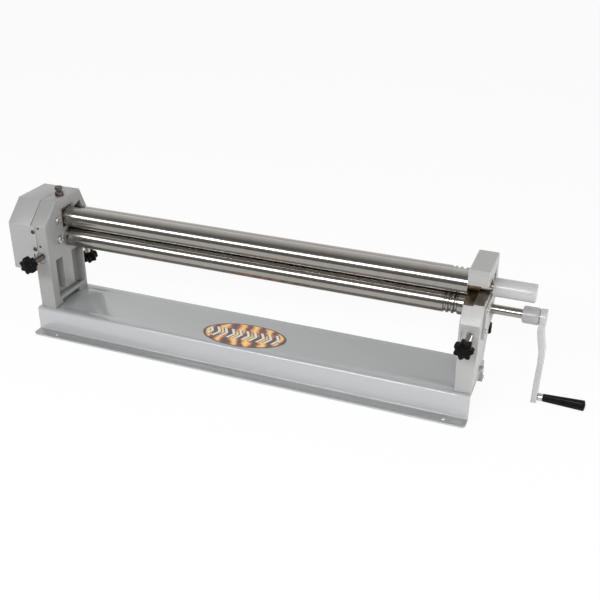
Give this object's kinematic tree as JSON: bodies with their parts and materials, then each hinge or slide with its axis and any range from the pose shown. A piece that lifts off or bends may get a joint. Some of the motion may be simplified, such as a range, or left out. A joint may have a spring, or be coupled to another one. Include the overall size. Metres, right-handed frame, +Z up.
{
  "type": "slip roll machine",
  "caption": "Hand-cranked bench slip roll: geared ground rolls between two castings on a folded base, with pinch and bend adjusters and a swing-out upper roll.",
  "frame": {"origin": "on the floor plane, at the centre of the four floor holes under the rolls", "axes": "+X along the rolls towards the crank, +Y to the rear, +Z up"},
  "size_m": [1.2626, 0.2604, 0.322],
  "materials": {
    "casting_paint": "satin light grey enamel over cast iron",
    "base_paint": "semi-gloss light grey enamel",
    "sticker": "printed vinyl",
    "ground_steel": "cylindrically ground, lightly oiled",
    "machined_steel": "machined",
    "oiled_steel": "dark, oiled",
    "cast_block": "machined cast iron",
    "bronze": "oiled bronze",
    "black_plastic": "moulded, glossy",
    "black_screw": "black oxide",
    "zinc_fastener": "zinc plated"
  },
  "bodies": {
    "frame": {"base_channel": "base_paint", "base_label": "sticker", "left_casting": "casting_paint", "right_casting": "casting_paint", "slot_saddle": "oiled_steel", "left_foot_bolts": "black_screw", "right_foot_bolts": "black_screw", "left_keeper_plate": "machined_steel", "left_keeper_screws": "zinc_fastener", "right_keeper_plate": "machined_steel", "right_keeper_screws": "zinc_fastener", "gear_cover": "casting_paint", "gear_cover_screws": "black_screw", "swivel_bolt": "black_screw", "swivel_lock_nut": "black_screw", "swivel_pivot_pin": "zinc_fastener", "right_foot_side_bolt": "zinc_fastener"},
    "front_wedges": {"wedge_left": "machined_steel", "wedge_right": "machined_steel"},
    "front_left_adjuster": {"front_left_knob": "black_plastic", "front_left_screw": "zinc_fastener"},
    "front_right_adjuster": {"front_right_knob": "black_plastic", "front_right_screw": "zinc_fastener"},
    "lower_carriage": {"lower_block_left": "cast_block", "lower_block_right": "cast_block", "lower_bush_left": "bronze", "lower_bush_right": "bronze", "lower_thrust_washer": "machined_steel"},
    "lower_roll_drive": {"lower_roll": "ground_steel", "lower_gear": "machined_steel", "lower_gear_key": "zinc_fastener", "lower_gear_ring": "zinc_fastener", "crank_hub": "casting_paint", "crank_set_screw": "zinc_fastener", "crank_arm": "casting_paint", "grip_spindle": "machined_steel", "grip_ferrule": "machined_steel"},
    "grip": {"crank_grip": "black_plastic"},
    "rear_carriage": {"rear_block_left": "cast_block", "rear_block_right": "cast_block", "rear_bush_left": "bronze", "rear_bush_right": "bronze"},
    "rear_roll": {"rear_roll": "ground_steel"},
    "rear_left_adjuster": {"rear_left_knob": "black_plastic", "rear_left_screw": "zinc_fastener"},
    "rear_right_adjuster": {"rear_right_knob": "black_plastic", "rear_right_screw": "zinc_fastener"},
    "swivel_block": {"swivel_block": "machined_steel"},
    "swivel_bush": {"swivel_bush": "bronze"},
    "upper_roll": {"upper_roll": "ground_steel", "upper_right_sleeve": "bronze", "upper_gear": "machined_steel", "upper_gear_key": "zinc_fastener", "upper_gear_ring": "zinc_fastener", "release_handle": "casting_paint", "release_handle_screw": "zinc_fastener"}
  },
  "joints": [
    {"name": "front_knob_turn", "type": "hinge", "parent": "front_wedges", "child": "front_left_adjuster", "pos_m": [-0.48, -0.116, 0.184], "axis": [0, -1, 0], "range_deg": [0, 2881]},
    {"name": "front_right_knob_turn", "type": "hinge", "parent": "front_wedges", "child": "front_right_adjuster", "pos_m": [0.48, -0.116, 0.184], "axis": [0, -1, 0], "range_deg": [0, 2881]},
    {"name": "front_wedge_slide", "type": "slide", "parent": "frame", "child": "front_wedges", "axis": [0, -1, 0], "range_m": [0, 0.01401]},
    {"name": "lower_roll_lift", "type": "slide", "parent": "frame", "child": "lower_carriage", "axis": [0, 0, 1], "range_m": [-0.0035, 0]},
    {"name": "crank_turn", "type": "hinge", "parent": "lower_carriage", "child": "lower_roll_drive", "pos_m": [0, 0.018, 0.206], "axis": [1, 0, 0], "continuous": true},
    {"name": "grip_spin", "type": "hinge", "parent": "lower_roll_drive", "child": "grip", "pos_m": [0.66, 0.018, 0.029], "axis": [1, 0, 0], "continuous": true},
    {"name": "rear_knob_turn", "type": "hinge", "parent": "rear_carriage", "child": "rear_left_adjuster", "pos_m": [-0.48, 0.0665, 0.237], "axis": [0, -0.3173, 0.9483], "range_deg": [-4527, 721]},
    {"name": "rear_right_knob_turn", "type": "hinge", "parent": "rear_carriage", "child": "rear_right_adjuster", "pos_m": [0.48, 0.0665, 0.237], "axis": [0, -0.3173, 0.9483], "range_deg": [-4527, 721]},
    {"name": "rear_roll_travel", "type": "slide", "parent": "frame", "child": "rear_carriage", "axis": [0, -0.3173, 0.9483], "range_m": [-0.022, 0.0035]},
    {"name": "rear_roll_spin", "type": "hinge", "parent": "rear_carriage", "child": "rear_roll", "pos_m": [0, 0.0665, 0.237], "axis": [1, 0, 0], "continuous": true},
    {"name": "upper_roll_swing", "type": "hinge", "parent": "frame", "child": "swivel_block", "pos_m": [-0.477, 0.018, 0.253], "axis": [0, 0, -1], "range_deg": [0, 7]},
    {"name": "bush_roll", "type": "hinge", "parent": "swivel_block", "child": "swivel_bush", "pos_m": [-0.477, 0.018, 0.253], "axis": [1, 0, 0], "range_deg": [-10.74, 0]},
    {"name": "upper_roll_turn", "type": "hinge", "parent": "swivel_bush", "child": "upper_roll", "pos_m": [0, 0.018, 0.253], "axis": [1, 0, 0], "continuous": true}
  ],
  "couplings": [
    {"joint": "front_wedge_slide", "follows": "lower_roll_lift", "ratio": -4},
    {"joint": "front_knob_turn", "follows": "lower_roll_lift", "rad_per_m": -14362},
    {"joint": "front_right_knob_turn", "follows": "lower_roll_lift", "rad_per_m": -14362},
    {"joint": "rear_knob_turn", "follows": "rear_roll_travel", "rad_per_m": 3590.4},
    {"joint": "rear_right_knob_turn", "follows": "rear_roll_travel", "rad_per_m": 3590.4},
    {"joint": "bush_roll", "follows": "upper_roll_swing", "ratio": -1.52},
    {"joint": "upper_roll_turn", "follows": "crank_turn", "ratio": -1}
  ]
}
